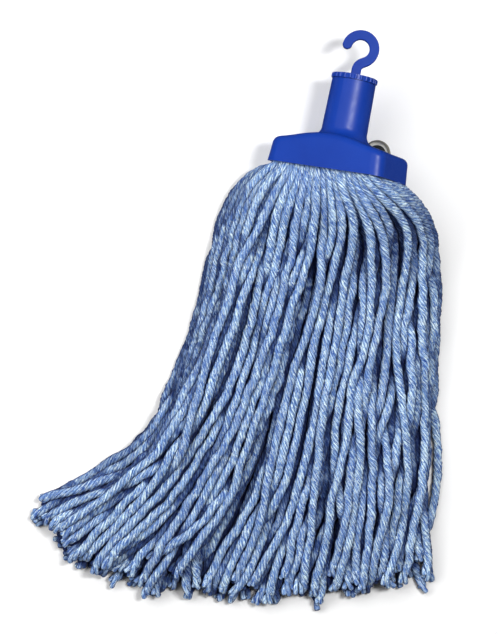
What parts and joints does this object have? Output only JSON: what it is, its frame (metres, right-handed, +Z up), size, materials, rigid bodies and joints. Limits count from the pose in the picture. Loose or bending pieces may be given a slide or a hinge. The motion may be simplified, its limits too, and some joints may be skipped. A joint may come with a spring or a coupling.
{
  "type": "string mop",
  "caption": "String mop lying flat: a socket head for a round handle, with a swivelling hang hook in its mouth, and a fan of twisted blended yarn strands.",
  "frame": {"origin": "on the axis of the handle bore, at the mouth end of its straight wall", "axes": "+Y runs out of the bore towards the handle, +Z points up from the floor that the mop lies on, +X is to the right seen from above"},
  "size_m": [0.3066, 0.448, 0.088],
  "materials": {
    "blue_plastic": "satin moulded polypropylene, royal blue",
    "hook_plastic": "satin moulded polypropylene, slightly lighter royal blue",
    "steel": "zinc-plated steel",
    "yarn": "loosely twisted blended cotton yarn, heathered blue and white",
    "tape": "woven polyester tape, stitched"
  },
  "bodies": {
    "yarn": {"yarn_lock_under_1": "yarn", "yarn_lock_under_2": "yarn", "yarn_lock_under_3": "yarn", "yarn_lock_under_4": "yarn", "yarn_lock_under_5": "yarn", "yarn_lock_under_6": "yarn", "yarn_lock_under_7": "yarn", "yarn_lock_under_8": "yarn", "yarn_lock_over_1": "yarn", "yarn_lock_over_2": "yarn", "yarn_lock_over_3": "yarn", "yarn_lock_over_4": "yarn", "yarn_lock_over_5": "yarn", "yarn_lock_over_6": "yarn", "yarn_lock_over_7": "yarn", "yarn_lock_over_8": "yarn"},
    "head": {"socket_casing": "blue_plastic", "yarn_crown": "yarn", "binding_band": "tape", "clamp_screw_left": "steel", "clamp_screw_right": "steel", "cup_washer_left": "steel", "cup_washer_right": "steel"},
    "plug": {"hang_plug": "blue_plastic"},
    "hanger": {"ribbed_cap": "blue_plastic", "hang_hook": "hook_plastic"}
  },
  "joints": [
    {"name": "head_tilt", "type": "hinge", "parent": "yarn", "child": "head", "pos_m": [0, -0.105, 0.01], "axis": [1, 0, 0], "range_deg": [0, 30]},
    {"name": "hang_plug_pull", "type": "slide", "parent": "head", "child": "plug", "axis": [0, 0.9397, 0.342], "range_m": [0, 0.1]},
    {"name": "cap_swivel", "type": "hinge", "parent": "plug", "child": "hanger", "pos_m": [0, 0.007, 0], "axis": [0, 1, 0], "continuous": true}
  ]
}
